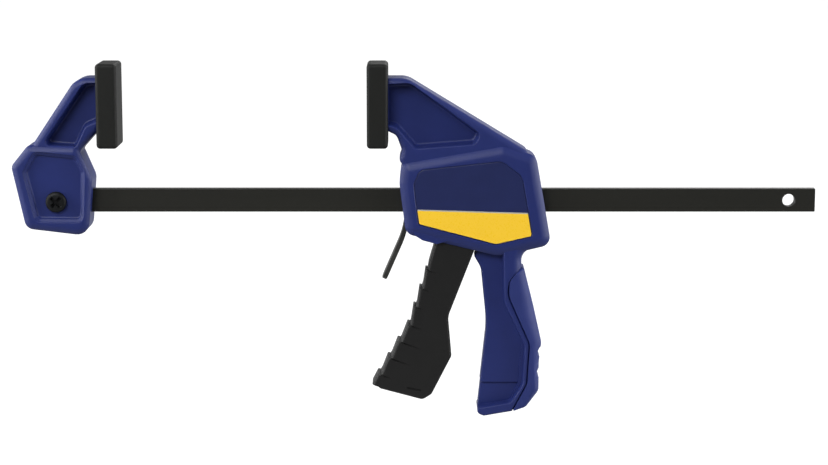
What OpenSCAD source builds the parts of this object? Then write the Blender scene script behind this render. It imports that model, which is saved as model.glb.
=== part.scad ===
// One-handed quick release bar clamp.
// Origin: middle of the fixed pad's clamping face. +X runs along the bar to the moving jaw,
// +Z points away from the bar, Y runs through the clamp's thickness. Millimetres.

/* [Bar] */
// Overall length of the bar
bar_length = 503; // [460:1:620]
// Height of the bar's section
bar_h = 15; // [13:0.5:16.5]
// Thickness of the bar's section
bar_t = 6; // [5:0.25:6.5]
// Diameter of the hole at each end of the bar
bar_hole_d = 8; // [7:0.5:9]
// Distance of each hole from its end of the bar
bar_hole_edge = 17; // [14:0.5:19]

/* [Jaws] */
// Opening between the two pads
opening = 158; // [60:1:280]
// Throat, from the bar's upper edge to the pads' upper end
throat = 81; // [78:0.5:90]
// Thickness of a pad, along the bar
pad_t = 13.5; // [12:0.5:18]
// Width of a pad, through the clamp
pad_w = 30; // [28:0.5:40]
// Height of a pad
pad_h = 54; // [48:0.5:56]
// Rounding of the pads' edges
pad_edge = 1.8; // [0.8:0.1:2.5]
// Thickness of the fixed jaw
fixed_jaw_t = 26; // [24:0.5:28]
// Depth of the screw's recess in the fixed jaw
screw_recess = 3; // [2:0.25:4]
// Thickness of both arms
arm_t = 23; // [20:0.5:25]
// Thickness of the web between an arm's two recesses
arm_web = 6; // [4:0.5:10]
// Depth of the foot that the pads grip
foot_depth = 8; // [6:0.5:9]
// Width of the foot that the pads grip
foot_w = 21; // [16:0.5:22]
// Height of the foot that the pads grip
foot_h = 32; // [26:0.5:36]

/* [Housing] */
// Thickness of the housing
housing_t = 28; // [27:0.5:32]
// Depth of the recess for a cover plate
cover_recess = 1.5; // [1:0.1:1.8]
// Thickness of a cover plate
cover_t = 1.2; // [0.8:0.1:1.4]
// Thickness of a label
label_t = 0.25; // [0.1:0.05:0.4]

/* [Handle] */
// Thickness of the handle's rim
handle_t = 25; // [23.5:0.5:27]
// Thickness of the handle's web
handle_web = 13; // [10:0.5:13.4]
// Thickness of the palm grip
palm_t = 26; // [24:0.5:28]
// Depth of the rounding at both sides of the palm grip
palm_round = 4.5; // [3:0.5:4.8]
// Thickness of the spine inside the palm grip
spine_t = 16; // [12:0.5:16.5]

/* [Trigger] */
// Outer width of the trigger
trigger_w = 21; // [20:0.1:21.2]
// Thickness of each cheek of the trigger
cheek_t = 3.5; // [2.5:0.1:3.6]
// Wall of the trigger's front
trigger_wall = 4; // [3:0.25:5]
// Length of one rib of the trigger's front
rib_pitch = 12.6; // [11:0.1:12.8]
// Height of the step at the end of each rib
rib_step = 1.5; // [0.5:0.1:2]
// Diameter of the pin that the trigger turns on
pin_d = 6; // [5:0.25:7]

/* [Mechanism] */
// Thickness of one drive plate
drive_plate_t = 2.8; // [2:0.1:3]
// Width of the drive plates
drive_plate_w = 20; // [18:0.5:20.8]
// Wire of the drive spring
drive_wire = 1.4; // [1:0.1:1.5]
// Number of curls of the drive spring
drive_curls = 5; // [4:1:6]
// Thickness of the release lever
lever_t = 3; // [2.5:0.1:3.2]
// Width of the release lever
lever_w = 14; // [12:0.5:15]
// Wire of the brake spring
brake_wire = 1; // [0.8:0.1:1.1]
// Number of curls of the brake spring
brake_curls = 5; // [4:1:6]

/* [Fasteners] */
// Diameter of the screw's shank
screw_d = 5; // [4:0.5:6]
// Diameter of the screw's head
screw_head_d = 13.4; // [12:0.2:14]
// Height of the screw's head
screw_head_h = 3; // [2:0.25:3.5]

/* [Hidden] */
$fn = 48;

blue = [0.18, 0.20, 0.42];
pale_blue = [0.31, 0.35, 0.56];
dark_blue = [0.18, 0.20, 0.34];
yellow = [0.90, 0.73, 0.22];
black = [0.14, 0.14, 0.14];
dark_steel = [0.16, 0.16, 0.17];
steel = [0.45, 0.45, 0.45];

slide_gap = 0.3;   // clearance between bodies that move past each other
fit_gap = 0.1;     // clearance between pieces that are fixed together
seam_gap = 0.2;    // width of the seam in front of the palm grip
pin_gap = 0.05;    // radial clearance of a pin in its bore
through = 1;       // how far a cutter runs past the face that it opens
arc_steps = 5;     // straight pieces in each rounded corner of an outline

// The bar and the two jaws
bar_z = pad_h / 2 - throat - bar_h / 2;
bar_left = -pad_t - bar_hole_edge - 27;
bar_right = bar_left + bar_length;
screw_x = bar_left + bar_hole_edge;
bar_end_hole_x = bar_right - bar_hole_edge;
jaw_x = opening + pad_t;

// Outlines are lists of corners [x, z, rounding], counterclockwise as seen in the photograph's
// view. Arm corners are measured from the pad's middle, the others from the bar's middle.
function low(x, z, r) = [x, bar_z + z, r];

fixed_arm_outline = [
    [-pad_t, 17.6, 1], [-pad_t - 12.4, 17.6, 10], low(-64.4, 22.3, 4),
    low(-60, 12, 3), low(-30, 12, 3), low(-23.8, 33.5, 3),
    [-pad_t, -16.5, 1]];
fixed_base_outline = [
    low(-68.5, 23, 4), low(-60, -17.2, 6), low(-20.2, -22, 8), low(-17.2, 15, 8),
    low(-26, 36, 4), low(-57.4, 36.6, 3)];
fixed_arm_recess = [
    [-pad_t - 1, 14.6, 1], [-pad_t - 6.4, 14.6, 5], low(-46.8, 37.6, 3),
    low(-27.6, 35.6, 4), [-pad_t - 7.4, -13.4, 5], [-pad_t - 1, -10, 1]];
fixed_base_recess = [
    low(-60.8, 19.6, 3), low(-53.6, -11.4, 4), low(-24.9, -11.8, 3), low(-23, 19.6, 4),
    low(-26.4, 28.6, 2), low(-53.6, 32.2, 2)];

// Shifts an outline of the moving jaw along the bar to where the carriage stands
function placed(corners) = [for (c = corners) [jaw_x + c[0], c[1], c[2]]];

moving_arm_outline = placed([
    [0, 17.6, 1], [0, -16.2, 1], [5.4, -18.8, 5], low(8.9, 33, 5), low(6.8, 27.2, 2), low(13, 18, 3),
    low(82, 14, 3), low(90.5, 31.7, 3), [12.2, 17.6, 10]]);
housing_outline = placed([
    low(7.2, 12, 10), low(11.3, -20.6, 5), low(71.5, -35.4, 20), low(104.4, -27.6, 4),
    low(94.3, 29.6, 6), low(73.5, 36.8, 8), low(8.6, 25.5, 5)]);
moving_arm_recess = placed([
    [1, 12.6, 1], [1, -9.6, 1], [6.3, -12.2, 4], low(18.3, 35.6, 3),
    low(54.4, 38.4, 4), low(57.2, 43.6, 3), [14, 13.9, 6]]);
cover_outline = placed([
    low(16.2, 12, 6), low(19.2, -14.2, 2), low(68.9, -27.3, 6), low(92.4, -21.9, 2),
    low(85.4, 17, 9), low(72.5, 26.6, 7), low(20.2, 20.9, 5)]);
label_top = -5.4;
label_outline = placed([
    low(18.7, label_top + 1, 0.4), low(19.9, -13.7, 1.4), low(68.9, -26.6, 5.4), low(91.6, -21.4, 1.4),
    low(89, label_top - 1.1, 0.4)]);

// The mechanism, from the housing's own places
bay_w = max(trigger_w, drive_plate_w) + 2 * slide_gap;
pin_x = jaw_x + 52.5;
pin_z = bar_z + bar_h / 2 + 8.4;
boss_r = 8;
bay_front = jaw_x + 28;
bay_back = jaw_x + 87.5;
bay_top = pin_z + boss_r + 0.6;
bay_floor = bar_z - 22.5;
slot_front = jaw_x + 26;
slot_back = jaw_x + 74.5;
lever_pin_x = jaw_x + 18.4;
lever_pin_z = bar_z + 24.5;
lever_knuckle_r = 2;
lever_tilt = 10.3;
lever_tail_tilt = 23.5;
lever_bend = 47;
lever_tail = 32;
lever_half = lever_t / 2;
lever_miter = lever_half * tan((lever_tail_tilt - lever_tilt) / 2);
function upper_leg(across, down) = [lever_pin_x, lever_pin_z] + turned([across, -down], -lever_tilt);
function lower_leg(across, down) =
    upper_leg(0, lever_bend) + turned([across, -down], -lever_tail_tilt);
function corner(p, r) = [p[0], p[1], r];
lever_outline = [
    corner(upper_leg(-lever_half, 0), 0.2), corner(upper_leg(-lever_half, lever_bend - lever_miter), 3),
    corner(lower_leg(-lever_half, lever_tail), 1.2), corner(lower_leg(lever_half, lever_tail), 1.2),
    corner(upper_leg(lever_half, lever_bend + lever_miter), 3), corner(upper_leg(lever_half, 0), 0.2)];
lever_cavity_back = jaw_x + 24.6;
bar_slot_h = bar_h + 2 * slide_gap;
bar_slot_t = bar_t + 2 * slide_gap;

bay_outline = [
    [bay_front, bay_top, 0.5], [bay_front, bay_floor, 0.5], [slot_front, bay_floor - 1, 0.5],
    [slot_front, bar_z - 40, 0.5], [slot_back, bar_z - 40, 0.5], [slot_back, bay_floor, 1],
    [bay_back, bay_floor, 2], [bay_back, bay_top, 2]];

// Handle: its rim back to the seam of the palm grip, the web in front, and the grip itself
seam = placed([
    low(85.3, -42.9, 1), low(77.6, -50.6, 9), low(77.2, -61, 14), low(91.1, -92.4, 10),
    low(89.4, -119, 6), low(80, -136.9, 1.5)]);
rim_outline = concat(
    placed([low(74.9, -24, 1), low(74.9, -66, 12), low(88.2, -93, 12), low(87, -119, 6),
            low(79.5, -130.6, 5), low(58, -134.4, 1), low(57.3, -138.2, 2), low(61.6, -140.1, 3)]),
    [for (i = [len(seam) - 1:-1:0]) seam[i]],
    placed([low(85.6, -34, 6), low(90, -24, 2)]));
web_outline = placed([
    low(59, -18.5, 2), low(58, -30, 2), low(55, -35.6, 2), low(59.6, -43.5, 12), low(63.3, -80, 60),
    low(57.6, -133, 1), low(60, -136, 1), low(82, -132.4, 5), low(90, -119, 6), low(90.5, -92, 12),
    low(77, -66, 12), low(76, -34, 3), low(76, -18.5, 1)]);
palm_seam = [for (c = seam) [c[0] + seam_gap, c[1], c[2]]];
palm_outline = concat(palm_seam, placed([
    low(88.7, -133.8, 4), low(97, -123, 5), low(97.4, -105, 6), low(98.9, -92, 10), low(87.3, -43.2, 0.8)]));
palm_crown = concat(palm_seam, placed([
    low(86.4, -132.6, 3), low(93.2, -121, 4), low(93, -105, 6), low(94.4, -92, 10), low(86.8, -45.4, 0.8)]));
spine_outline = placed([
    low(78, -133.4, 3), low(86.6, -131.2, 5), low(93.9, -122, 4), low(94.5, -105, 6),
    low(95.8, -92, 9), low(84, -46.4, 3), low(77, -50, 3), low(74, -61, 14), low(86, -92.4, 10),
    low(84, -119, 6)]);

// Trigger: the front is a row of ribs along two straight lines
rib_count = 7;
upper_ribs = 3;
upper_angle = 18;
lower_angle = 30.5;
first_tip = [-28.6, -60.4];
function rib_angle(i) = i < upper_ribs ? upper_angle : lower_angle;
function rib_tip(i) = i == 0 ? first_tip
    : rib_tip(i - 1) - rib_pitch * [sin(rib_angle(i - 1)), cos(rib_angle(i - 1))];
function rib_notch(i) = rib_tip(i) + [rib_step * cos(rib_angle(i - 1)), 0.9];
trigger_corners = concat(
    [[-boss_r, boss_r, boss_r - 0.2], [-boss_r, -13, 10], [-22.4, -42.4, 4], [-25.3, -50, 8]],
    [for (i = [0:rib_count - 1]) each [
        [rib_notch(i)[0], rib_notch(i)[1], 0.3],
        [rib_tip(i)[0], rib_tip(i)[1], 0.5]]],
    [[-62.9, -136, 3], [-57.5, -138.6, 2], [-30.4, -146, 4], [-24.6, -142.4, 4],
     [-11.7, -117, 4], [-14, -91, 12], [boss_r, -34, 3], [boss_r, boss_r, boss_r - 0.2]]);
trigger_outline = [for (c = trigger_corners) [pin_x + c[0], pin_z + c[1], c[2]]];

// Screw and nut of the fixed jaw
screw_floor = fixed_jaw_t / 2 - screw_recess;
head_rim = 0.6 * screw_head_h;
screw_slot_w = 1.5;
nut_r = bar_hole_d / 2 - fit_gap;
nut_floor = 2;

// Drive plates and springs
plate_x = pin_x + boss_r + 0.4;
plate_top = bar_z + 14.5;
plate_bottom = bar_z - 16.5;
drive_seat_x = plate_x + 2 * drive_plate_t;
curl_rings = 8;
drive_spring_r = (norm([bar_h, bar_t]) / 2 + slide_gap) / cos(180 / curl_rings) + drive_wire / 2;
brake_spring_r = 3;
brake_spring_z = bar_z - bar_h / 2 - 6.5;

// ---- outlines ----

function wrap(list, i) = list[(i + len(list)) % len(list)];
function flat(c) = [c[0], c[1]];
function unit(v) = v / norm(v);
function turned(v, a) = [v[0] * cos(a) - v[1] * sin(a), v[0] * sin(a) + v[1] * cos(a)];
function left_of(v) = [-v[1], v[0]];

// Arc that rounds the corner q between its neighbours p and s
function corner_arc(p, q, s) =
    let (a = unit(flat(p) - flat(q)),
         b = unit(flat(s) - flat(q)),
         half = acos(a * b) / 2,
         centre = flat(q) + unit(a + b) * q[2] / sin(half),
         start = flat(q) + a * q[2] / tan(half) - centre,
         sweep = (180 - 2 * half) * sign(cross(b, a)))
    [for (k = [0:arc_steps]) centre + turned(start, sweep * k / arc_steps)];

// Points of an outline with every corner rounded
function rounded(c) = [for (i = [0:len(c) - 1]) each corner_arc(wrap(c, i - 1), c[i], wrap(c, i + 1))];

// The outline moved inwards by d, or outwards where d is negative
function inset(c, d) = [for (i = [0:len(c) - 1])
    let (u = unit(flat(c[i]) - flat(wrap(c, i - 1))),
         v = unit(flat(wrap(c, i + 1)) - flat(c[i])),
         shift = d * (left_of(u) + left_of(v)) / (1 + u * v),
         r = c[i][2] - d * sign(cross(u, v)))
    [c[i][0] + shift[0], c[i][1] + shift[1], max(r, 0.2)]];

// Solid through rings of points; each ring is [y, points] and all have as many points
module loft(rings) {
    n = len(rings[0][1]);
    last = len(rings) - 1;
    points = [for (ring = rings) for (p = ring[1]) [p[0], ring[0], p[1]]];
    sides = [for (k = [0:last - 1]) for (i = [0:n - 1])
        let (j = (i + 1) % n, a = k * n + i, b = k * n + j)
        each [[a, b, b + n], [a, b + n, a + n]]];
    polyhedron(points, concat([[for (i = [n - 1:-1:0]) i]], sides, [[for (i = [0:n - 1]) last * n + i]]));
}

// Plate of thickness t about the middle plane, its edges bevelled by w across and d deep
module bevelled(corners, t, w, d)
    loft([[-t / 2, rounded(inset(corners, w))], [-t / 2 + d, rounded(corners)],
          [t / 2 - d, rounded(corners)], [t / 2, rounded(inset(corners, w))]]);

// Plate with square edges between two values of y
module plate(corners, y0, y1)
    translate([0, y1, 0]) rotate([90, 0, 0]) linear_extrude(y1 - y0) polygon(rounded(corners));

// Recess in the side at y = face, cut down to y = floor_y
module recess(corners, face, floor_y) plate(corners, floor_y, face + through);

module both_sides() {
    children();
    mirror([0, 1, 0]) children();
}

// Box centred on the middle plane, from x0 to x1 and z0 to z1
module block(x0, x1, z0, z1, w) translate([x0, -w / 2, z0]) cube([x1 - x0, w, z1 - z0]);

// Round bar or bore along Y
module round_y(x, z, r, y0, y1) translate([x, y1, z]) rotate([90, 0, 0]) cylinder(r = r, h = y1 - y0);

// ---- fixed end ----

module bar() color(dark_steel) difference() {
    block(bar_left, bar_right, bar_z - bar_h / 2, bar_z + bar_h / 2, bar_t);
    for (x = [screw_x, bar_end_hole_x]) round_y(x, bar_z, bar_hole_d / 2, -bar_t, bar_t);
}

module foot(x0, x1) block(x0, x1, -foot_h / 2, foot_h / 2, foot_w);

module fixed_jaw() color(blue) difference() {
    union() {
        plate(fixed_arm_outline, -arm_t / 2, arm_t / 2);
        bevelled(fixed_base_outline, fixed_jaw_t, 1.5, 1);
        foot(-pad_t - 1, -pad_t + foot_depth - fit_gap);
    }
    both_sides() {
        recess(fixed_arm_recess, arm_t / 2, arm_web / 2);
        recess(fixed_base_recess, fixed_jaw_t / 2, screw_floor);
    }
    block(bar_left - fit_gap, 0, bar_z - bar_h / 2 - fit_gap, bar_z + bar_h / 2 + fit_gap,
          bar_t + 2 * fit_gap);
    round_y(screw_x, bar_z, bar_hole_d / 2, -fixed_jaw_t, fixed_jaw_t);
}

module jaw_screw() color(black) difference() {
    union() {
        round_y(screw_x, bar_z, screw_head_d / 2, -screw_floor - head_rim, -screw_floor);
        translate([screw_x, -screw_floor - head_rim, bar_z]) rotate([90, 0, 0])
            cylinder(r1 = screw_head_d / 2, r2 = screw_head_d / 2 - 2, h = screw_head_h - head_rim);
        round_y(screw_x, bar_z, screw_d / 2, -screw_floor, screw_floor - nut_floor - 1);
    }
    for (turn = [45, 135])
        translate([screw_x, -screw_floor - screw_head_h, bar_z]) rotate([0, turn, 0])
            cube([screw_head_d / 2, screw_head_h, screw_slot_w], center = true);
}

module jaw_nut() color(black) difference() {
    union() {
        round_y(screw_x, bar_z, screw_head_d / 2, screw_floor, screw_floor + head_rim);
        round_y(screw_x, bar_z, nut_r, -screw_floor + 1, screw_floor);
    }
    round_y(screw_x, bar_z, screw_d / 2 + pin_gap, -screw_floor, screw_floor - nut_floor);
    translate([screw_x, screw_floor + head_rim, bar_z]) cube([9, 1.6, screw_slot_w], center = true);
}

// Pad between x0 and x1, with a pocket for the foot in the face that turns away from the work
module pad(x0, x1, pocket_x0, pocket_x1) difference() {
    bevelled([[x0, pad_h / 2, pad_edge], [x0, -pad_h / 2, pad_edge], [x1, -pad_h / 2, pad_edge],
              [x1, pad_h / 2, pad_edge]], pad_w, pad_edge, pad_edge);
    block(pocket_x0, pocket_x1, -foot_h / 2 - fit_gap, foot_h / 2 + fit_gap, foot_w + 2 * fit_gap);
}

module fixed_pad() color(black) pad(-pad_t, 0, -pad_t - through, -pad_t + foot_depth);

// ---- carriage ----

module moving_pad() color(black) pad(opening, jaw_x, jaw_x - foot_depth, jaw_x + through);

// The way of the release lever through the housing, open at the front lower corner
module lever_cavity() {
    wide = lever_w + 2 * slide_gap;
    front = lever_t / 2 + slide_gap;
    drop = lever_bend + 8;
    back = lever_cavity_back - lever_pin_x;
    translate([lever_pin_x, wide / 2, lever_pin_z]) rotate([90, 0, 0]) linear_extrude(wide)
        polygon([[-front, 0], turned([-front, -drop], -lever_tilt), [back, -drop], [back, -12], [front, 0]]);
    round_y(lever_pin_x, lever_pin_z, lever_knuckle_r + pin_gap, -wide / 2, wide / 2);
}

module jaw_body() color(blue) {
    difference() {
        union() {
            plate(moving_arm_outline, -arm_t / 2, arm_t / 2);
            bevelled(housing_outline, housing_t, 4, 2);
            foot(jaw_x - foot_depth + fit_gap, jaw_x + 1);
        }
        both_sides() {
            recess(moving_arm_recess, arm_t / 2, arm_web / 2);
            plate(cover_outline, housing_t / 2 - cover_recess, housing_t / 2 + through);
        }
        block(jaw_x, jaw_x + 120, bar_z - bar_slot_h / 2, bar_z + bar_slot_h / 2, bar_slot_t);
        plate(bay_outline, -bay_w / 2, bay_w / 2);
        lever_cavity();
        round_y(pin_x, pin_z, pin_d / 2, -housing_t, housing_t);
    }
    plate(rim_outline, -handle_t / 2, handle_t / 2);
    plate(web_outline, -handle_web / 2, handle_web / 2);
    plate(spine_outline, -spine_t / 2, spine_t / 2);
}

module palm_grip() color(pale_blue) difference() {
    loft([[-palm_t / 2, rounded(palm_crown)], [-palm_t / 2 + palm_round, rounded(palm_outline)],
          [palm_t / 2 - palm_round, rounded(palm_outline)], [palm_t / 2, rounded(palm_crown)]]);
    plate(spine_outline, -spine_t / 2, spine_t / 2);
}

cover_back = -housing_t / 2 + cover_recess;
cover_face = cover_back - cover_t;
module cover() plate(inset(cover_outline, fit_gap), cover_face, cover_back);
module label() plate(label_outline, cover_face - label_t, cover_face);

module front_cover() color(dark_blue) cover();
module rear_cover() color(dark_blue) mirror([0, 1, 0]) cover();
module front_label() color(yellow) label();
module rear_label() color(yellow) mirror([0, 1, 0]) label();

module trigger_pin() color(steel) round_y(pin_x, pin_z, pin_d / 2,
    -housing_t / 2 + cover_recess, housing_t / 2 - cover_recess);

// ---- moving mechanism ----

// Trough between the trigger's cheeks, open at the back, at the lower end and round the bar
module trigger_trough() {
    wide = trigger_w - 2 * cheek_t;
    inner = rib_step + trigger_wall;
    under_bar = -pin_z + bar_z - bar_h / 2 - 5;
    translate([pin_x, wide / 2, pin_z]) rotate([90, 0, 0]) linear_extrude(wide)
        polygon([[-30, 20], [-30, under_bar], [-15, under_bar], [-20, -58], rib_tip(3) + [inner, 0],
                 rib_tip(6) + [inner, 0], [-56, -160], [20, -160], [20, 20]]);
}

module trigger() color(black) difference() {
    plate(trigger_outline, -trigger_w / 2, trigger_w / 2);
    trigger_trough();
    round_y(pin_x, pin_z, pin_d / 2 + pin_gap, -trigger_w, trigger_w);
}

module drive_plate(x) color(steel) difference() {
    block(x, x + drive_plate_t, plate_bottom, plate_top, drive_plate_w);
    block(x - through, x + drive_plate_t + through, bar_z - bar_slot_h / 2, bar_z + bar_slot_h / 2,
          bar_slot_t);
}

module drive_plate_front() drive_plate(plate_x);
module drive_plate_rear() drive_plate(plate_x + drive_plate_t);

// Coil spring along X between x0 and x1: a six-sided wire on one unbroken helix
module coil(x0, x1, r, wire, curls) {
    rings = curls * curl_rings;
    pitch = (x1 - x0 - wire) / curls;
    points = [for (k = [0:rings]) for (s = [0:5])
        let (a = k * 360 / curl_rings, out = r + wire / 2 * cos(s * 60))
        [x0 + wire / 2 + pitch * k / curl_rings + wire / 2 * sin(s * 60), out * sin(a), out * cos(a)]];
    sides = [for (k = [0:rings - 1]) for (s = [0:5])
        let (a = k * 6 + s, b = k * 6 + (s + 1) % 6)
        each [[a, b + 6, b], [a, a + 6, b + 6]]];
    echo(gap_between_curls = pitch - wire);
    polyhedron(points, concat([[for (s = [0:5]) s]], sides, [[for (s = [5:-1:0]) rings * 6 + s]]));
}

module drive_spring() color(steel)
    translate([0, 0, bar_z]) coil(drive_seat_x, bay_back, drive_spring_r, drive_wire, drive_curls);

// Front face of the release lever's plate at height z
function lever_x(z) = lever_pin_x - (lever_pin_z - z) * tan(lever_tilt);

module brake_spring() color(steel) translate([0, 0, brake_spring_z])
    coil(lever_x(brake_spring_z) + lever_t / 2 + 0.6, lever_cavity_back, brake_spring_r, brake_wire,
         brake_curls);

module release_lever() color(steel) {
    difference() {
        plate(lever_outline, -lever_w / 2, lever_w / 2);
        translate([lever_pin_x, 0, lever_pin_z]) rotate([0, lever_tilt, 0])
            translate([0, 0, -(lever_pin_z - bar_z) / cos(lever_tilt)])
                cube([3 * lever_t, bar_slot_t, bar_slot_h + 1], center = true);
    }
    round_y(lever_pin_x, lever_pin_z, lever_knuckle_r, -lever_w / 2, lever_w / 2);
}

bar();
fixed_jaw();
fixed_pad();
jaw_screw();
jaw_nut();
jaw_body();
moving_pad();
palm_grip();
front_cover();
rear_cover();
front_label();
rear_label();
trigger_pin();
brake_spring();
trigger();
drive_plate_front();
drive_plate_rear();
drive_spring();
release_lever();
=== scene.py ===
from math import cos, pi, radians, sin, tan

import bmesh
import bpy
from mathutils import Matrix, Vector


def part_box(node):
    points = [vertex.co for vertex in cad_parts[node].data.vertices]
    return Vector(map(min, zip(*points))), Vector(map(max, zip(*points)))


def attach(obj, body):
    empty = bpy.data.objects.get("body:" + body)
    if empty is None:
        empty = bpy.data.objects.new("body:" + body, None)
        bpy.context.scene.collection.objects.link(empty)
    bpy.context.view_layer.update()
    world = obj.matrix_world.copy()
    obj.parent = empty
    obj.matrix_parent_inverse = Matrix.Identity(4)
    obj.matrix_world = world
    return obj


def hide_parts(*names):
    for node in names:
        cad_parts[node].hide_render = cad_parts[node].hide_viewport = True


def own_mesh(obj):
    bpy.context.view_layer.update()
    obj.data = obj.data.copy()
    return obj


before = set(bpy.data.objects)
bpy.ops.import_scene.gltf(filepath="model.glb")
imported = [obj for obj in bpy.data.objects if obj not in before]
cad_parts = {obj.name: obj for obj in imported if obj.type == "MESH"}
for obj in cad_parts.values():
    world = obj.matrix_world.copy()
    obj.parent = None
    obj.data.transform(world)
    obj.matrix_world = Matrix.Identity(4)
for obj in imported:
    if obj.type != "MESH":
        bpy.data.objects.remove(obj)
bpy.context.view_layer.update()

# ---- Camera and studio ----
# The clamp hangs level in a white studio, seen from in front and a little above. Large soft boxes
# stand at both sides, in front and behind, with a weak one above. The room's own light comes from the
# sides and the back, and its front is nearly dark.

camera_data = bpy.data.cameras.new("camera")
camera_data.lens = 94.4
camera = bpy.data.objects.new("camera", camera_data)
camera.location = (0.188, -1.3808, 0.1481)
camera.rotation_euler = (radians(80.5), 0, 0)
bpy.context.scene.collection.objects.link(camera)
bpy.context.scene.camera = camera
bpy.context.scene.view_settings.view_transform = "Standard"


def node(tree, kind, inputs=None, **settings):
    """Adds a shader node; an input may be a value, a socket or another node's first output"""
    made = tree.nodes.new("ShaderNode" + kind)
    for name, value in settings.items():
        setattr(made, name, value)
    for socket, value in (inputs or {}).items():
        if isinstance(value, bpy.types.Node):
            value = value.outputs[0]
        if isinstance(value, bpy.types.NodeSocket):
            tree.links.new(value, made.inputs[socket])
        else:
            made.inputs[socket].default_value = value
    return made


def combined(tree, operation, *values):
    """Math node that works on up to three values"""
    return node(tree, "Math", dict(enumerate(values)), operation=operation)


def colour(red, green, blue):
    """Linear colour of a display colour in steps of 0 to 255"""
    shares = (red / 255, green / 255, blue / 255)
    return [v / 12.92 if v <= 0.04045 else ((v + 0.055) / 1.055) ** 2.4 for v in shares] + [1]


# How bright the room is for the clamp, by direction. The camera sees plain white instead.
front_light = 0.04
side_light = 0.55
back_light = 0.4
white = 1.0
world = bpy.data.worlds.new("studio")
world.use_nodes = True
bpy.context.scene.world = world
room = world.node_tree
room.nodes.clear()
rays = node(room, "LightPath")
facing = node(room, "SeparateXYZ", {"Vector": node(room, "TexCoord").outputs["Generated"]})
sideways = combined(room, "MULTIPLY", facing.outputs["X"], facing.outputs["X"])
from_sides = combined(room, "MULTIPLY_ADD", sideways, side_light, front_light)
backwards = combined(room, "MAXIMUM", facing.outputs["Y"], 0)
from_room = combined(room, "MULTIPLY_ADD", backwards, back_light, from_sides)
seen = combined(room, "MAXIMUM", rays.outputs["Is Camera Ray"], rays.outputs["Is Transmission Ray"])
strength = node(room, "Mix", {"Factor": seen, "A": from_room, "B": white})
node(room, "OutputWorld", {
    "Surface": node(room, "Background", {"Color": (1, 1, 1, 1), "Strength": strength})})

clamp_middle = Vector((0.19, 0, -0.08))


def lamp(name, place, size, watts):
    """Square soft box that faces the middle of the clamp"""
    data = bpy.data.lights.new(name, "AREA")
    data.size = size
    data.energy = watts
    made = bpy.data.objects.new(name, data)
    made.location = place
    made.rotation_euler = (Vector(place) - clamp_middle).to_track_quat("Z", "Y").to_euler()
    bpy.context.scene.collection.objects.link(made)


lamp("front_lamp", place=(-0.7, -1.8, 1.35), size=1.2, watts=42)
lamp("right_lamp", place=(1.9, -0.2, 0.15), size=1.5, watts=46)
lamp("left_lamp", place=(-1.5, -0.2, 0.3), size=1.4, watts=34)
lamp("top_lamp", place=(0.2, 0, 1.5), size=1.2, watts=2)
lamp("rear_lamp", place=(0.9, 1.6, 1.5), size=1.2, watts=24)

# The paper floor ends not far in front of the clamp. Nearer to the camera it would be mirrored in the
# clamp's flat sides. It glows white for the camera, and about half as bright in what the clamp mirrors.
floor_height = -0.26
floor_size = 20
floor_front = -0.45
paper_grey = 125
paper_glow = 0.95
mirrored_glow = 0.5
floor_bm = bmesh.new()
bmesh.ops.create_grid(floor_bm, x_segments=1, y_segments=1, size=floor_size,
                      matrix=Matrix.Translation((0, floor_front + floor_size, floor_height)))
floor_mesh = bpy.data.meshes.new("floor")
floor_bm.to_mesh(floor_mesh)
floor_bm.free()
floor = bpy.data.objects.new("floor", floor_mesh)
bpy.context.scene.collection.objects.link(floor)
paper = bpy.data.materials.new("paper")
paper.use_nodes = True
sheet = paper.node_tree
sheet.nodes.clear()
sheet_rays = node(sheet, "LightPath")
sheet_seen = combined(sheet, "MAXIMUM", sheet_rays.outputs["Is Camera Ray"],
                      sheet_rays.outputs["Is Transmission Ray"])
sheet_mirrored = combined(sheet, "MULTIPLY", sheet_rays.outputs["Is Glossy Ray"], mirrored_glow)
sheet_glow = combined(sheet, "MULTIPLY_ADD", sheet_seen, paper_glow, sheet_mirrored)
node(sheet, "OutputMaterial", {"Surface": node(sheet, "AddShader", {
    0: node(sheet, "BsdfDiffuse", {"Color": colour(paper_grey, paper_grey, paper_grey)}),
    1: node(sheet, "Emission", {"Color": (1, 1, 1, 1), "Strength": sheet_glow})})})
floor.data.materials.append(paper)

# ---- Bar ----
# A flat steel bar, drawn and blackened, with a hole drilled near each end: the left one takes the
# fixed jaw's screw, the right one takes a stop screw or a hook.

MM = 0.001


def part(bm, name="part"):
    """Object of a finished bmesh"""
    mesh = bpy.data.meshes.new(name)
    bm.to_mesh(mesh)
    bm.free()
    made = bpy.data.objects.new(name, mesh)
    bpy.context.scene.collection.objects.link(made)
    return made


def worked(base, operation, tools):
    """The base joined with, cut by or kept inside the tools, which are used up"""
    for tool in tools:
        step = base.modifiers.new("work", "BOOLEAN")
        step.operation = operation
        step.solver = "EXACT"
        step.object = tool
    depsgraph = bpy.context.evaluated_depsgraph_get()
    mesh = bpy.data.meshes.new_from_object(base.evaluated_get(depsgraph))
    base.modifiers.clear()
    base.data = mesh
    for tool in tools:
        bpy.data.objects.remove(tool)
    return base


merge_distance = 0.003
sharp_angle = radians(33)


def piece(made, name, slot, material, body, *nodes):
    """Cleans, names and shades a finished object, and hands it to its body; its slot is not used"""
    bm = bmesh.new()
    bm.from_mesh(made.data)
    bmesh.ops.remove_doubles(bm, verts=bm.verts, dist=merge_distance * MM)
    bmesh.ops.dissolve_degenerate(bm, edges=bm.edges, dist=merge_distance * MM)
    bmesh.ops.triangulate(bm, faces=bm.faces)
    bm.to_mesh(made.data)
    bm.free()
    made.name = made.data.name = name
    made.data.materials.clear()
    made.data.materials.append(material)
    made.data.shade_smooth()
    made.data.set_sharp_from_angle(angle=sharp_angle)
    smoother = made.modifiers.new("flat_faces", "WEIGHTED_NORMAL")
    smoother.keep_sharp = True
    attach(made, body)
    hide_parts(*nodes)
    return made


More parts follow.
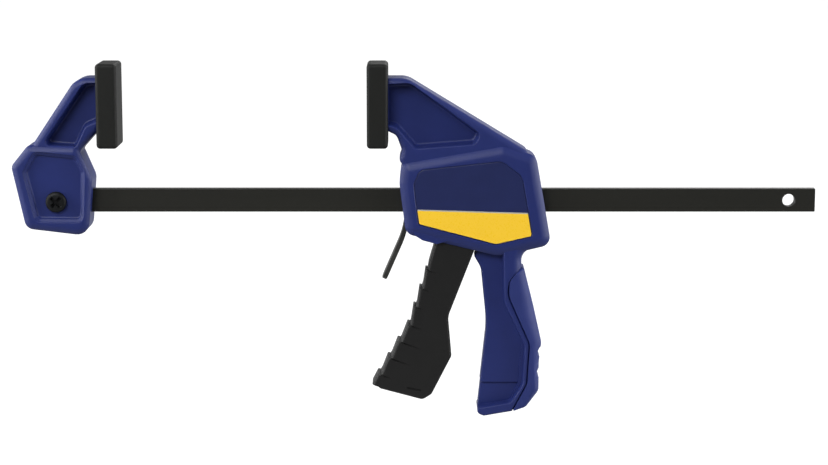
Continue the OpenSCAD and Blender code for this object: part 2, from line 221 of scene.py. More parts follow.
cloud_scale = 70
noise_low = 0.3
noise_high = 0.7
gloss_change = 0.05


def finish_of(name, tone, roughness, metallic=0.0, specular=0.5, grain=0.3, depth=0.02, mottle=0.06,
              stretch=(1, 1, 1)):
    """Material with a fine grain in its surface and small changes of tone and gloss.
    grain and depth are the grain's size and height in millimetres, mottle is the change of tone, and
    stretch below 1 draws the pattern out along that axis."""
    material = bpy.data.materials.new(name)
    material.use_nodes = True
    tree = material.node_tree
    tree.nodes.clear()
    place = node(tree, "Mapping", {"Vector": node(tree, "TexCoord").outputs["Object"], "Scale": stretch})
    clouds = node(tree, "TexNoise", {"Vector": place, "Scale": cloud_scale, "Detail": 4})
    grains = node(tree, "TexNoise", {"Vector": place, "Scale": 1 / (grain * MM), "Detail": 2})
    dark = [v * (1 - mottle) for v in tone[:3]] + [1]
    light = [v * (1 + mottle) for v in tone[:3]] + [1]
    blotches = node(tree, "MapRange", {"Value": clouds, "From Min": noise_low, "From Max": noise_high})
    paint = node(tree, "Mix", {"Factor": blotches, 6: dark, 7: light}, data_type="RGBA")
    gloss = node(tree, "MapRange", {
        "Value": grains, "From Min": noise_low, "From Max": noise_high,
        "To Min": roughness - gloss_change, "To Max": roughness + gloss_change})
    skin = node(tree, "Bump", {"Height": grains, "Strength": 1, "Distance": depth * MM})
    shader = node(tree, "BsdfPrincipled", {
        "Base Color": paint.outputs[2], "Roughness": gloss, "Metallic": metallic,
        "Specular IOR Level": specular, "Normal": skin})
    node(tree, "OutputMaterial", {"Surface": shader})
    return material


def box_of(x0, x1, z0, z1, half):
    """Box about the middle plane"""
    bm = bmesh.new()
    bmesh.ops.create_cube(bm, size=1, matrix=(
        Matrix.Translation(((x0 + x1) / 2 * MM, 0, (z0 + z1) / 2 * MM))
        @ Matrix.Diagonal(((x1 - x0) * MM, 2 * half * MM, (z1 - z0) * MM, 1))))
    return bm


def rounded(bm, edges, r, steps):
    """Rounds edges of a bmesh"""
    bmesh.ops.bevel(bm, geom=edges, offset=r * MM, segments=steps, profile=0.5, affect="EDGES", material=-1)


def drilled(x, z, radius, y0, y1, chamfer):
    """Tool for a hole along Y with both edges chamfered, which reaches past the hole's ends"""
    past = 1
    wide = radius + chamfer + past
    bm = bmesh.new()
    for y, r in ((y0 - past, wide), (y0 + chamfer, radius), (y1 - chamfer, radius), (y1 + past, wide)):
        bmesh.ops.create_circle(bm, segments=48, radius=r * MM, matrix=(
            Matrix.Translation((x * MM, y * MM, z * MM)) @ Matrix.Rotation(pi / 2, 4, "X")))
    bmesh.ops.bridge_loops(bm, edges=bm.edges)
    bmesh.ops.holes_fill(bm, edges=bm.edges)
    bmesh.ops.recalc_face_normals(bm, faces=bm.faces)
    return part(bm)


bar_low, bar_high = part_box("bar")
bar_left = bar_low.x / MM
bar_right = bar_high.x / MM
bar_z = (bar_low.z + bar_high.z) / 2 / MM
bar_half_height = (bar_high.z - bar_low.z) / 2 / MM
bar_half = bar_high.y / MM
bar_edge = 0.45
hole_r = 4
hole_edge = 17
hole_chamfer = 0.4
screw_x = bar_left + hole_edge
bar_bm = box_of(bar_left, bar_right, bar_low.z / MM, bar_high.z / MM, bar_half)
rounded(bar_bm, bar_bm.edges, bar_edge, 3)
bar = worked(part(bar_bm), "DIFFERENCE", [
    drilled(x, bar_z, hole_r, -bar_half, bar_half, hole_chamfer) for x in (screw_x, bar_right - hole_edge)])
bar_steel = finish_of("bar_steel", colour(28, 28, 24), roughness=0.42, specular=0.35, grain=0.25,
                      depth=0.006, mottle=0.1, stretch=(0.08, 1, 1))
piece(bar, "steel_bar", "bar_steel", bar_steel, "fixed_end", "bar")

# ---- Fixed jaw ----
# One glass-filled nylon moulding, held on the bar by a screw. A deep pocket lightens its arm on
# each side, and a shallow pocket with sloping walls surrounds the screw.


def low(x, z, r):
    """Corner measured from the bar's middle line"""
    return [x, bar_z + z, r]


def outlined(bm, corners, y):
    """Face in the plane y with rounded corners, each given as [x, z, radius]; 0 leaves one sharp"""
    points = [bm.verts.new((x * MM, y * MM, z * MM)) for x, z, _ in corners]
    bm.faces.new(points)
    for k, corner in enumerate(corners):
        if not corner[2]:
            continue
        here = Vector(corner[:2])
        before = Vector(corners[k - 1][:2]) - here
        after = Vector(corners[(k + 1) % len(corners)][:2]) - here
        reach = corner[2] / tan(before.angle(after) / 2)
        bmesh.ops.bevel(bm, geom=[points[k]], offset=reach * MM, offset_type="OFFSET", segments=6,
                        profile=0.5, affect="VERTICES", material=-1)


least_r = 0.3


def shrunk(corners, inset):
    """Outline with its sides moved inwards by inset, or outwards where that is negative"""
    points = [Vector(corner[:2]) for corner in corners]
    turn = sum(points[k - 1].cross(points[k]) for k in range(len(points)))
    side = 1 if turn > 0 else -1
    moved = []
    for k, (x, z, r) in enumerate(corners):
        came = (points[k] - points[k - 1]).normalized()
        goes = (points[(k + 1) % len(points)] - points[k]).normalized()
        inwards = Vector((-came.y - goes.y, came.x + goes.x)) * inset / (1 + came.dot(goes))
        bent = inset if came.cross(goes) * side > 0 else -inset
        moved.append([x + side * inwards.x, z + side * inwards.y, max(r - bent, least_r) if r else 0])
    return moved


def lofted(rings):
    """Closed shell through outlines, each given as (y, corners)"""
    rings = sorted(rings, key=lambda ring: ring[0])
    heights = [y for y, _ in rings]
    near = 1e-4     # millimetres within which two heights are the same
    bm = bmesh.new()
    for y, corners in rings:
        outlined(bm, corners, y)
    loops = [[e for e in bm.edges if all(abs(v.co.y / MM - y) < near for v in e.verts)] for y in heights]
    inner = [f for f in bm.faces
             if all(abs(f.calc_center_median().y / MM - end) > near for end in (heights[0], heights[-1]))]
    bmesh.ops.delete(bm, geom=inner, context="FACES_ONLY")
    for loop, next_loop in zip(loops, loops[1:]):
        bmesh.ops.bridge_loops(bm, edges=loop + next_loop)
    bmesh.ops.recalc_face_normals(bm, faces=bm.faces)
    return bm


def mirrored(rings):
    """The rings of one half together with those of the other half"""
    return rings + [(-y, corners) for y, corners in rings]


def quarter(across, out, flat=0.0, steps=6):
    """Steps of a rounded edge, from the wall (going out) to the face (going across); flat makes it
    more of a straight bevel"""
    shares = [k / steps for k in range(steps + 1)]
    return [(across * ((1 - flat) * (1 - cos(pi / 2 * t)) + flat * t),
             out * ((1 - flat) * sin(pi / 2 * t) + flat * t)) for t in shares]


def moulding(corners, half, rounding, flat=0.0):
    """Plate about the middle plane whose edges are rounded by (width, depth)"""
    across, out = rounding
    return lofted(mirrored([(half - out + o, shrunk(corners, a)) for a, o in quarter(across, out, flat)]))


def trimmed(bm, x, side):
    """Cuts off what lies beyond the plane x on that side, and closes the cut"""
    cut = bmesh.ops.bisect_plane(bm, geom=bm.verts[:] + bm.edges[:] + bm.faces[:],
                                 plane_co=(x * MM, 0, 0), plane_no=(side, 0, 0), clear_outer=True)
    rim = [e for e in cut["geom_cut"] if isinstance(e, bmesh.types.BMEdge)]
    bmesh.ops.edgeloop_fill(bm, edges=rim)
    bmesh.ops.recalc_face_normals(bm, faces=bm.faces)
    return bm


tool_reach = 4
through = 20


def pockets(corners, face, floor, lip, slope, fillet):
    """Tools for the same moulded pocket in front and at the rear: rounded lip, sloping wall and
    filleted floor"""
    mouth = [(face - lip + o, shrunk(corners, -a)) for a, o in quarter(lip, lip)]
    foot = [(floor + fillet - o, shrunk(corners, slope + a)) for a, o in quarter(fillet, fillet)]
    rings = mouth + foot + [(face + tool_reach, shrunk(corners, -lip - 0.01))]
    return [part(lofted([(side * y, ring) for y, ring in rings])) for side in (-1, 1)]


def bar_window(x0, x1, gap):
    """Tool for the window that the bar passes through"""
    reach = bar_half_height + gap
    return part(box_of(x0, x1, bar_z - reach, bar_z + reach, bar_half + gap))


pad_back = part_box("fixed_pad")[0].x / MM
arm_half = 11.5
arm_rounding = (3.4, 2.6)
arm_flat = 0.4
arm_past = 8
arm_pocket = {"face": arm_half, "floor": 3, "lip": 0.9, "slope": 0.9, "fillet": 1.8}
pocket_past = 6
fixed_arm = part(trimmed(moulding([
    [pad_back + arm_past, 17.8, 4], [pad_back - 12.4, 17.8, 12], low(-64.4, 22.3, 4.5), low(-60, 12, 4),
    low(-30, 12, 4), low(-23.8, 33.5, 4), [pad_back + arm_past, -7.6, 4]],
    arm_half, arm_rounding, arm_flat), pad_back, 1))
fixed_arm = worked(fixed_arm, "DIFFERENCE", pockets([
    [pad_back + pocket_past, 14.6, 3], [pad_back - 7.4, 14.6, 6], low(-48.6, 36.4, 3.6),
    low(-27.2, 34.8, 4), [pad_back - 7.2, -13, 5], [pad_back + pocket_past, -7.4, 3]], **arm_pocket))

base_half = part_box("fixed_jaw")[1].y / MM
fixed_base = part(moulding([
    low(-68.5, 23, 4.5), low(-60, -17.2, 6), low(-20.2, -22, 8), low(-17.2, 15, 8),
    low(-26, 36, 4.5), low(-57.4, 36.6, 4.5)], base_half, rounding=(4.2, 2.6), flat=0.5))
foot_depth = 7.9
foot_half_height = 16
foot_half = 10.5
foot_root = 0.5
fixed_foot = part(box_of(pad_back - foot_root, pad_back + foot_depth, -foot_half_height, foot_half_height,
                         foot_half))
fixed_jaw = worked(fixed_base, "UNION", [fixed_arm, fixed_foot])
tight_fit = 0.1
fixed_jaw = worked(fixed_jaw, "DIFFERENCE", pockets([
    low(-60.8, 19.6, 5), low(-53.6, -12.4, 5), low(-22.9, -12.8, 5), low(-21.6, 19.6, 5),
    low(-26.4, 29.6, 5), low(-53.6, 32.6, 5)], base_half, floor=9.6, lip=0.8, slope=1.6, fillet=1.6)
    + [bar_window(bar_left - tight_fit, 0, tight_fit), drilled(screw_x, bar_z, hole_r, -through, through, 0)])
blue_plastic = finish_of("blue_plastic", colour(29, 40, 97), roughness=0.45, specular=0.3)
piece(fixed_jaw, "fixed_jaw_moulding", "blue_plastic", blue_plastic, "fixed_end", "fixed_jaw")

# ---- Pads ----
# Soft black blocks that push on to the feet of the two arms. Their clamping faces are plain and
# their edges are well rounded.

pad_edge = 2.4


def pad(x0, x1, foot_x0, foot_x1):
    """Rounded block with the socket that takes the foot"""
    pad_low, pad_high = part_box("fixed_pad")
    bm = box_of(x0, x1, pad_low.z / MM, pad_high.z / MM, pad_high.y / MM)
    rounded(bm, bm.edges, pad_edge, 6)
    socket_half_height = foot_half_height + tight_fit
    socket = part(box_of(foot_x0, foot_x1, -socket_half_height, socket_half_height, foot_half + tight_fit))
    return worked(part(bm), "DIFFERENCE", [socket])


jaw_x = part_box("moving_pad")[1].x / MM
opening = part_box("moving_pad")[0].x / MM
socket_depth = foot_depth + tight_fit
pad_rubber = finish_of("pad_rubber", colour(19, 20, 18), roughness=0.6, specular=0.22, grain=0.5, depth=0.03,
                       mottle=0.12)
piece(pad(pad_back, 0, pad_back - 1, pad_back + socket_depth), "fixed_pad_block", "pad_rubber",
      pad_rubber, "fixed_end", "fixed_pad")
piece(pad(opening, jaw_x, jaw_x - socket_depth, jaw_x + 1), "moving_pad_block", "pad_rubber",
      pad_rubber, "carriage", "moving_pad")

# ---- Jaw screw and nut ----
# A blackened screw with a domed head and a cross recess, and the sleeve nut that it turns into
# from the far side of the jaw.


def turned(profile, x, z, y):
    """Round piece about an axis along Y: profile is [radius, distance from y towards the viewer]"""
    bm = bmesh.new()
    verts = [bm.verts.new((r * MM, -d * MM, 0)) for r, d in profile]
    edges = [bm.edges.new(pair) for pair in zip(verts, verts[1:])]
    bmesh.ops.spin(bm, geom=verts + edges, cent=(0, 0, 0), axis=(0, 1, 0), angle=2 * pi, steps=48,
                   use_merge=True, use_duplicate=False)
    bmesh.ops.remove_doubles(bm, verts=bm.verts, dist=0.001 * MM)
    bmesh.ops.translate(bm, verts=bm.verts, vec=(x * MM, y * MM, z * MM))
    bmesh.ops.recalc_face_normals(bm, faces=bm.faces)
    return bm


screw_seat = 10
head_r = 6.7
head_top = 3
head_chamfer = 0.2
head_flat_r = 2
shank_r = 2.5
shank_length = 17
dome_w = 2.6
dome_h = 1.9
dome_base = 1
cross_length = 10.4
cross_w = 2.4
cross_depth = 2
cross_taper = (0.55, 1, 0.8)
cross_past = 0.6


def cross_slot(angle):
    """One wing of the screwdriver's recess, narrower at its floor"""
    y0 = -screw_seat - head_top - cross_past
    y1 = -screw_seat - head_top + cross_depth
    bm = box_of(-cross_length / 2, cross_length / 2, -cross_w / 2, cross_w / 2, (y1 - y0) / 2)
    floor_verts = [v for v in bm.verts if v.co.y > 0]
    bmesh.ops.scale(bm, verts=floor_verts, vec=cross_taper)
    bmesh.ops.rotate(bm, verts=bm.verts, cent=(0, 0, 0), matrix=Matrix.Rotation(angle, 3, "Y"))
    bmesh.ops.translate(bm, verts=bm.verts, vec=(screw_x * MM, (y0 + y1) / 2 * MM, bar_z * MM))
    return part(bm)


dome = [(head_r - dome_w + dome_w * cos(a), dome_base + dome_h * sin(a))
        for a in (radians(15 * k) for k in range(7))]
screw = part(turned(
    [(0, -shank_length), (shank_r, -shank_length), (shank_r, 0), (head_r - head_chamfer, 0),
     (head_r, head_chamfer)] + dome + [(head_flat_r, head_top), (0, head_top)], screw_x, bar_z, -screw_seat))
screw = worked(screw, "DIFFERENCE", [cross_slot(radians(45)), cross_slot(radians(135))])
black_steel = finish_of("black_steel", colour(9, 11, 13), roughness=0.5, specular=0.2, grain=0.2, depth=0.008,
                        mottle=0.15)
piece(screw, "cross_screw", "black_steel", black_steel, "fixed_end", "jaw_screw")

nut_r = 3.9
nut_bore = 2.55
nut_length = 19
nut_floor = 2
nut_head = 1.8
nut_edge = 0.6
nut = part(turned(
    [(0, nut_floor), (nut_bore, nut_floor), (nut_bore, nut_length), (nut_r, nut_length), (nut_r, 0),
     (head_r - head_chamfer, 0), (head_r, -head_chamfer), (head_r, nut_edge - nut_head),
     (head_r - nut_edge, -nut_head), (0, -nut_head)], screw_x, bar_z, screw_seat))
piece(nut, "sleeve_nut", "black_steel", black_steel, "fixed_end", "jaw_nut")

# ---- Jaw body ----
# The carriage's one large moulding: the arm with its deep pockets, the hollow housing that rides on
# the bar, and the handle with a thick rim behind a thin web.


def placed(corners):
    """Shifts corners measured from the moving pad's back to where the carriage stands"""
    return [[jaw_x + x, z, r] for x, z, r in corners]


def slab(corners, y0, y1):
    """Plate with square edges between two values of y"""
    return lofted([(y0, corners), (y1, corners)])


moving_arm = part(trimmed(moulding(placed([
    [-arm_past, 17.8, 4], [-arm_past, -12.4, 4], [5.4, -18.8, 5], low(8.9, 33, 5), low(6.8, 27.2, 4),
    low(13, 18, 4), low(82, 14, 4), low(90.5, 31.7, 4.5), [12.2, 17.8, 12]]),
    arm_half, arm_rounding, arm_flat), jaw_x, -1))
moving_arm = worked(moving_arm, "DIFFERENCE", pockets(placed([
    [-pocket_past, 13.6, 3], [-pocket_past, -10.4, 3], [5.4, -13.4, 4], low(17.4, 34.4, 3.4),
    low(55.4, 37.2, 4), low(58.8, 43.6, 3.4), [14.4, 14.6, 6]]), **arm_pocket))
moving_foot = part(box_of(jaw_x - foot_depth, jaw_x + foot_root, -foot_half_height, foot_half_height,
                          foot_half))
housing_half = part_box("jaw_body")[1].y / MM
housing = part(moulding(placed([
    low(7.2, 12, 10), low(11.3, -20.6, 6.5), low(71.5, -35.4, 20), low(104.4, -27.6, 6.5),
    low(94.3, 29.6, 7), low(73.5, 36.8, 8), low(8.6, 25.5, 6.5)]),
    housing_half, rounding=(6, 3.4), flat=0.6))
skirt = part(moulding(placed([
    low(14, -17, 1), low(17, -21.4, 3), low(22, -24.6, 2.5), low(31, -27, 1), low(38, -25, 1),
    low(38, -17, 1)]), half=12.7, rounding=(0.5, 0.5)))
jaw_body = worked(housing, "UNION", [moving_arm, skirt, moving_foot])

# What is cut out of the housing: the covers' recesses, the bay of the mechanism and the ways of the
# bar and of the release lever.
cover_depth = 1.5
cover_gap = 0.05
recess_chamfer = 0.35
cover_seat = housing_half - cover_depth
cover_outline = placed([
    low(16.2, 12, 6), low(19.2, -14.2, 2), low(68.9, -27.3, 6), low(92.4, -21.9, 2),
    low(85.4, 17, 9), low(72.5, 26.6, 7), low(20.2, 20.9, 5)])
recess_mouth = cover_gap + recess_chamfer
recess = [(cover_seat, cover_gap), (housing_half - recess_chamfer, cover_gap),
          (housing_half, recess_mouth), (housing_half + tool_reach, recess_mouth)]
recesses = [part(lofted([(side * y, shrunk(cover_outline, -wider)) for y, wider in recess]))
            for side in (-1, 1)]
bay_half = 10.8
bay = part(slab(placed([
    low(28, 25.1, 0.5), low(28, -22.5, 0.5), low(26, -23.5, 0.5), low(26, -40, 0.5), low(74.5, -40, 0.5),
    low(74.5, -22.5, 1), low(87.5, -22.5, 2), low(87.5, 25.1, 2)]), -bay_half, bay_half))
loose_fit = 0.3
bar_way = bar_window(jaw_x - 2, jaw_x + 120, loose_fit)
pivot_inset = 2
lever_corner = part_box("release_lever")[1]
lever_pivot = Vector((lever_corner.x / MM - pivot_inset, 0, lever_corner.z / MM - pivot_inset))
lever_half = 7
lever_way = part(slab([[lever_pivot.x + x, lever_pivot.z + z, 0.1] for x, z in (
    (-1.8, 0), (-11.7, -54), (6.2, -55), (6.2, -12), (1.8, 0))],
    -lever_half - loose_fit, lever_half + loose_fit))
jaw_body = worked(jaw_body, "DIFFERENCE", recesses + [bay, bar_way, lever_way])

# The handle: a rim open towards the trigger, the neck under the housing, a web that gets thinner at
# the foot, and the spine that carries the palm grip.
seam = [low(85.3, -42.9, 2), low(77.6, -50.6, 9), low(77.2, -61, 14), low(91.1, -92.4, 10),
        low(89.4, -119, 6), low(80, -136.9, 0.6)]
rim_half = 12.5
neck_half = rim_half - 0.03     # a hair inside the rim, so that no two faces share a plane
web_half = 6.5
foot_web_half = 5
rim = part(moulding(placed([
    low(64, -24, 3), low(64, -60, 12), low(69, -93, 12), low(66, -120, 6), low(58.2, -131, 2.5),
    low(57.3, -138.2, 2.5), low(61.6, -140.1, 3)] + seam[:1:-1] + [low(77.6, -24, 2)]),
    rim_half, rounding=(1.2, 1.2)))
rim = worked(rim, "DIFFERENCE", pockets(placed([
    low(73.2, -12, 4), low(74.9, -66, 12), low(88.2, -93, 12), low(87, -119, 6), low(79.5, -131.1, 5),
    low(45, -137.2, 4), low(45, -12, 4)]), rim_half, floor=4, lip=0.8, slope=0.6, fillet=1.4))
neck = part(moulding(placed([
    low(60, -8, 12), low(60, -78, 12), low(85.6, -78, 12), low(85.6, -33.4, 7), low(100, -27, 10),
    low(100, -8, 6)]), neck_half, rounding=(6.2, 6)))
neck = worked(neck, "INTERSECT", [part(slab(placed(
    [low(76.4, -23.2, 0.1), low(76.4, -58, 0.1)] + seam[1::-1]
    + [low(97, -36, 0.1), low(97, -23.2, 0.1)]), -through, through))])
web = part(moulding(placed([
    low(59, -18.5, 2), low(58, -30, 2), low(55, -35.6, 2), low(59.6, -43.5, 12), low(63.3, -80, 60),
    low(59.1, -119.4, 2), low(89, -119.4, 2), low(88.5, -92, 12), low(77, -66, 12), low(76, -34, 3),
    low(76, -18.5, 1.4)]), web_half, rounding=(1.3, 1.3)))
foot_web = part(moulding(placed([
    low(60.8, -106, 2), low(57.9, -133, 2), low(61, -136, 2), low(82, -132.4, 5), low(88, -119, 6),
    low(88, -106, 2)]), foot_web_half, rounding=(0.9, 0.9)))
spine_half = 8
spine_outline = placed([
    low(78, -133.4, 3), low(86.6, -131.2, 5), low(93.9, -122, 4), low(94.5, -105, 6), low(95.8, -92, 9),
    low(84, -46.4, 3), low(77, -50, 3), low(74, -61, 14), low(86, -92.4, 10), low(84, -119, 6)])
spine = part(slab(spine_outline, -spine_half, spine_half))
jaw_body = worked(jaw_body, "UNION", [rim, neck, web, foot_web, spine])
piece(jaw_body, "jaw_moulding", "blue_plastic", blue_plastic, "carriage", "jaw_body")

# ---- Palm grip ----
# A paler moulding that fits round the back of the handle, behind a curved seam. Its back is well
# rounded for the palm and has two shallow scallops.

seam_gap = 0.3
palm_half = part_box("palm_grip")[1].y / MM
palm_depth = 6
palm_flat = 0.2
scallop_r = 4.4
palm_seam = [[x + seam_gap, z, r] for x, z, r in seam[1:]]
palm_back = [low(89.4, -134.6, 4), low(97.4, -124, 5), low(97.4, -105, 6), low(98.9, -92, 10),
             low(93.5, -68, 16), low(87.3, -43.2, 0.8), low(85.6, -42.9, 0.8)]
palm_crown = [low(87, -134, 3), low(94.2, -122, 4), low(93, -106, 6), low(92.2, -93, 8),
              low(84.6, -70, 16), low(82.4, -46.9, 0.6), low(80.9, -47.4, 0.6)]


def palm_ring(share):
    """Outline part of the way from the palm's widest section to its crown"""
    back = [[b + (c - b) * share for b, c in zip(*pair)] for pair in zip(palm_back, palm_crown)]
    return placed(palm_seam + back)


palm = part(lofted(mirrored([
    (palm_half - palm_depth + o, palm_ring(share)) for share, o in quarter(1, palm_depth, palm_flat)])))
palm = worked(palm, "DIFFERENCE", [part(slab(spine_outline, -spine_half, spine_half))] + [
    drilled(jaw_x + x, bar_z + z, scallop_r, -through, through, 0)
    for x, z in ((100.8, -98.5), (100.2, -112.2))])
grip_plastic = finish_of("grip_plastic", colour(40, 50, 106), roughness=0.52, specular=0.2)
piece(palm, "palm_grip_moulding", "grip_plastic", grip_plastic, "carriage", "palm_grip")

# ---- Covers and labels ----
# A dark plate lies in the recess of each side of the housing. A bright film label fills its lower
# part, and a fine pale line is printed along the label's upper edge.

cover_edge = (0.8, 0.5)
label_top = -4.4
label_left = 18.7
label_fall = 0.0299
line_w = 0.8
line_blur = 0.1
cover_plastic = finish_of("cover_plastic", colour(28, 36, 79), roughness=0.42, specular=0.3, grain=0.4,
                          depth=0.01)
yellow_label = finish_of("yellow_label", colour(246, 200, 52), roughness=0.3, specular=0.5, grain=0.8,
                         depth=0.003, mottle=0.01)
film = yellow_label.node_tree
film_shader = film.nodes["Principled BSDF"]
plain_print = film_shader.inputs["Base Color"].links[0].from_socket
spot = node(film, "SeparateXYZ", {"Vector": node(film, "TexCoord").outputs["Object"]})
level = combined(film, "MULTIPLY_ADD", spot.outputs["X"], label_fall, spot.outputs["Z"])
line_level = bar_z + label_top + label_fall * (jaw_x + label_left) - line_w
pale_line = node(film, "MapRange", {
    "Value": level, "From Min": line_level * MM, "From Max": (line_level + line_blur) * MM})
print_colours = node(film, "Mix", {
    "Factor": pale_line, 6: plain_print, 7: colour(176, 174, 166)}, data_type="RGBA")
film.links.new(print_colours.outputs[2], film_shader.inputs["Base Color"])

cover_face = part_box("front_cover")[0].y / -MM
label_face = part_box("front_label")[0].y / -MM
edge_w, edge_depth = cover_edge
cover_rings = [(cover_seat, cover_outline)] + [
    (cover_face - edge_depth + o, shrunk(cover_outline, a)) for a, o in quarter(edge_w, edge_depth)]
label_outline = placed([
    low(label_left, label_top, 0.4), low(19.9, -13.7, 1.4), low(68.9, -26.6, 5.4), low(91.6, -21.4, 1.4),
    low(89, -6.5, 0.4)])
for name, side in (("front", -1), ("rear", 1)):
    cover = part(lofted([(side * y, ring) for y, ring in cover_rings]))
    piece(cover, name + "_cover_plate", "cover_plastic", cover_plastic, "carriage", name + "_cover")
    label = part(slab(label_outline, side * cover_face, side * label_face))
    piece(label, name + "_label_film", "yellow_label", yellow_label, "carriage", name + "_label")

# ---- Trigger ----
# A black nylon lever, hollow at the back, that turns on a pin inside the housing. Seven overlapping
# ribs run down its front, and their tips stand proud.

trigger_pin_x = jaw_x + 52.5
trigger_pin_z = bar_z + 15.9
trigger_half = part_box("trigger")[1].y / MM
trigger_side = trigger_half - 0.6
sunk_half = trigger_side - 0.1
trough_half = 7
rib_count = 7
rib_pitch = 12.6
rib_step = 2.1
rib_edge = 2.2
foot_half_drop = 0.4
last_rib_length = 7.6
last_rib_step = 0.4
first_tip = Vector((-28.6, -60.4))
rib_angles = [18] * 3 + [30.5] * 4
groove_slope = radians(20)
groove_lengths = [10, 9, 9, 14, 21, 20, 13]
groove_start = Vector((-1.5, 1))
groove_height = 0.7
groove_depths = (1.1, -0.3)


def at_pin(corners):
    """Shifts corners measured from the trigger's pin to where it stands"""
    return [[trigger_pin_x + x, trigger_pin_z + z, r] for x, z, r in corners]


rib_ways = [Vector((sin(radians(angle)), cos(radians(angle)))) for angle in rib_angles]
rib_tips = [first_tip]
for way in rib_ways[:-1]:
    rib_tips.append(rib_tips[-1] - rib_pitch * way)


def rib(k):
    """One rib: widest at its tip, with rounded front edges, and sunk into the lever at its rear"""
    tip = rib_tips[k]
    along = rib_ways[k]
    back = Vector((along.y, -along.x))
    foot = tip - last_rib_length * along + last_rib_step * back
    if k + 1 < rib_count:
        foot = rib_tips[k + 1] + rib_step * back
    reach = groove_lengths[k] * Vector((cos(groove_slope), -sin(groove_slope)))
    corners = at_pin([[*tip, 0], [*foot, 0], [*(foot + reach), 0], [*(tip + reach), 0]])
    bm = slab(corners, -1, 1)
    for corner, half in zip(corners, (trigger_half, trigger_half - foot_half_drop, sunk_half, sunk_half)):
        here = [v for v in bm.verts
                if abs(v.co.x - corner[0] * MM) + abs(v.co.z - corner[1] * MM) < 0.001 * MM]
        bmesh.ops.scale(bm, verts=here, vec=(1, half, 1))
    front_x = (corners[0][0] + corners[1][0]) / 2 * MM
    edges = [e for e in bm.edges if abs((e.verts[0].co - e.verts[1].co).y) < 1 * MM
             and abs(sum(v.co.x for v in e.verts) / 2 - front_x) < 0.001 * MM]
    rounded(bm, edges, rib_edge, 4)
    return part(bm)


def side_cuts(cuts):
    """Tool that cuts a slot in both sides for each [x, z, length, slope, height, depth, depth at its end]"""
    bm = bmesh.new()
    for x, z, length, slope, height, depth, end_depth in cuts:
        for side in (-1, 1):
            made = bmesh.ops.create_cube(bm, size=1)["verts"]
            inner = [v for v in made if v.co.y * side < 0]
            bmesh.ops.translate(bm, verts=made, vec=(0.5, 0.5 * side, 0))
            bmesh.ops.scale(bm, verts=made, vec=(length * MM, 2 * MM, height * MM))
            for v in inner:
                v.co.y = -side * (end_depth if v.co.x > 0 else depth) * MM
            bmesh.ops.rotate(bm, verts=made, cent=(0, 0, 0), matrix=Matrix.Rotation(slope, 3, "Y"))
            bmesh.ops.translate(bm, verts=made, vec=(
                (trigger_pin_x + x) * MM, side * trigger_side * MM, (trigger_pin_z + z) * MM))
    return part(bm)


trigger = part(moulding(at_pin([
    [-8, 8, 7.8], [-8, -13, 10], [-22.4, -42.4, 6], [-26.4, -56, 8], [-27.2, -61, 3], [-38.6, -97, 6],
    [-61, -134.4, 3], [-58.4, -138.5, 3], [-30.4, -146, 4], [-24.6, -142.4, 4], [-11.7, -117, 4],
    [-14, -91, 12], [8, -34, 3], [8, 8, 7.8]]), trigger_side, rounding=(1.8, 2.2)))
trigger = worked(trigger, "UNION", [rib(k) for k in range(rib_count)])
trough = part(slab(at_pin([
    [-30, 20, 0], [-30, -28.4, 0], [-15, -28.4, 0], [-20, -58, 0], [-34.7, -96.4, 0], [-53.7, -129, 0],
    [-56, -160, 0], [20, -160, 0], [20, 20, 0]]), -trough_half, trough_half))
grooves = [[*(tip + groove_start), length - groove_start.x, groove_slope, groove_height, *groove_depths]
           for tip, length in zip(rib_tips, groove_lengths)]
sprue_mark = [-40.4, -137.7, 9, radians(12), 1.2, 0.8, 0.8]
trigger = worked(trigger, "DIFFERENCE", [trough, side_cuts(grooves + [sprue_mark])])
trigger_plastic = finish_of("trigger_plastic", colour(20, 20, 20), roughness=0.5, specular=0.25, mottle=0.1)
piece(trigger, "trigger_moulding", "trigger_plastic", trigger_plastic, "trigger", "trigger")

# ---- Release lever ----
# A bent steel plate with a window round the bar. It hangs in the housing, brakes the bar as it
# tilts, and its tail comes out below for the finger.

lever_tilt = 10.3
tail_tilt = 23.5
lever_bend = 47
lever_tail = 32
lever_t = 3
lever_corner_r = 5
lever_edge = 0.5
window_top = -16.4
window_foot = -33
bend_steps = 6
bend_reach = 5


def stamped(bm, corner_r, corner_steps, edge):
    """Upright steel strip, thin along X: rounds its corners, then the edges of its two flat sides"""
    corner_edges = [e for e in bm.edges if abs((e.verts[0].co - e.verts[1].co).x) > 1 * MM]
    rounded(bm, corner_edges, corner_r, corner_steps)
    flat_edges = [e for e in bm.edges if abs((e.verts[0].co - e.verts[1].co).x) < 0.1 * MM]
    rounded(bm, flat_edges, edge, 2)
    return bm


lever_bm = stamped(box_of(-lever_t / 2, lever_t / 2, -lever_bend - lever_tail, pivot_inset, lever_half),
                   lever_corner_r, 8, lever_edge)
bends = [-(lever_bend - bend_reach + 2 * bend_reach * k / (bend_steps - 1)) * MM for k in range(bend_steps)]
for height in bends:
    bmesh.ops.bisect_plane(lever_bm, geom=lever_bm.verts[:] + lever_bm.edges[:] + lever_bm.faces[:],
                           plane_co=(0, 0, height), plane_no=(0, 0, 1))
levels = {v: v.co.z for v in lever_bm.verts}
bend_turn = Matrix.Rotation(radians((tail_tilt - lever_tilt) / bend_steps), 3, "Y")
for height in reversed(bends):
    tail = [v for v in lever_bm.verts if levels[v] < height - 0.01 * MM]
    bmesh.ops.rotate(lever_bm, verts=tail, cent=(0, 0, height), matrix=bend_turn)
lever = worked(part(lever_bm), "DIFFERENCE", [
    part(box_of(-5, 5, window_foot, window_top, bar_half + loose_fit))])
lever.data.transform(Matrix.Translation(lever_pivot * MM) @ Matrix.Rotation(radians(lever_tilt), 4, "Y"))
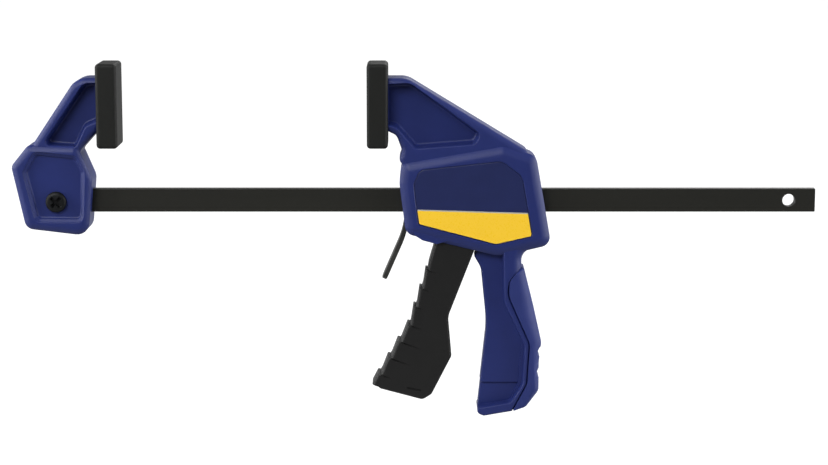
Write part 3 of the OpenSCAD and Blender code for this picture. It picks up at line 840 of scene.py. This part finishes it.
lever_steel = finish_of("lever_steel", colour(46, 46, 44), roughness=0.5, metallic=0.2, specular=0.3,
                        grain=0.25, depth=0.01, mottle=0.25)
piece(lever, "bent_release_lever", "lever_steel", lever_steel, "release", "release_lever")

# ---- Drive plates, springs and pin ----
# Zinc-plated steel inside the housing: the two plates that grip the bar, the coil spring that
# returns them, the brake lever's own spring and the trigger's pin.

plate_corner_r = 2
plate_edge = 0.25
bright_steel = finish_of("bright_steel", colour(165, 165, 168), roughness=0.35, metallic=0.9, grain=0.2,
                         depth=0.005, mottle=0.08)
for name in ("drive_plate_front", "drive_plate_rear"):
    plate_low, plate_high = (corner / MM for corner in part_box(name))
    plate_bm = stamped(box_of(plate_low.x, plate_high.x, plate_low.z, plate_high.z, plate_high.y),
                       plate_corner_r, 5, plate_edge)
    plate = worked(part(plate_bm), "DIFFERENCE", [bar_window(plate_low.x - 1, plate_high.x + 1, loose_fit)])
    piece(plate, name.replace("drive", "grip"), "bright_steel", bright_steel, "drive", name)

pin_low, pin_high = (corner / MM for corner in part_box("trigger_pin"))
pin_r = (pin_high.x - pin_low.x) / 2
pin_half = pin_high.y
pin_chamfer = 0.5
pin = part(turned(
    [(0, pin_half), (pin_r - pin_chamfer, pin_half), (pin_r, pin_half - pin_chamfer),
     (pin_r, pin_chamfer - pin_half), (pin_r - pin_chamfer, -pin_half), (0, -pin_half)],
    trigger_pin_x, trigger_pin_z, 0))
piece(pin, "chamfered_pin", "bright_steel", bright_steel, "carriage", "trigger_pin")

steps_per_curl = 24


def wound(name, wire, curls):
    """Coil spring in the place of a node, seated at its right end"""
    spring_low, spring_high = (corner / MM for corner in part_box(name))
    middle = (spring_low.z + spring_high.z) / 2
    radius = (spring_high.z - spring_low.z - wire) / 2
    pitch = (spring_high.x - spring_low.x - wire) / curls
    bm = bmesh.new()
    ring = bmesh.ops.create_circle(bm, segments=10, radius=wire / 2 * MM, matrix=(
        Matrix.Translation(((spring_low.x + wire / 2) * MM, 0, (middle + radius) * MM))
        @ Matrix.Rotation(pi / 2, 4, "X")))["verts"]
    bmesh.ops.spin(bm, geom=ring + bm.edges[:], cent=(0, 0, middle * MM), axis=(-1, 0, 0),
                   dvec=(pitch / steps_per_curl * MM, 0, 0), angle=2 * pi * curls,
                   steps=steps_per_curl * curls, use_merge=False, use_duplicate=False)
    bmesh.ops.holes_fill(bm, edges=bm.edges)
    bmesh.ops.recalc_face_normals(bm, faces=bm.faces)
    made = piece(part(bm), name.replace("spring", "coil"), "bright_steel", bright_steel, "carriage", name)
    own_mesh(made)


wound("drive_spring", wire=1.4, curls=5)
wound("brake_spring", wire=1, curls=5)
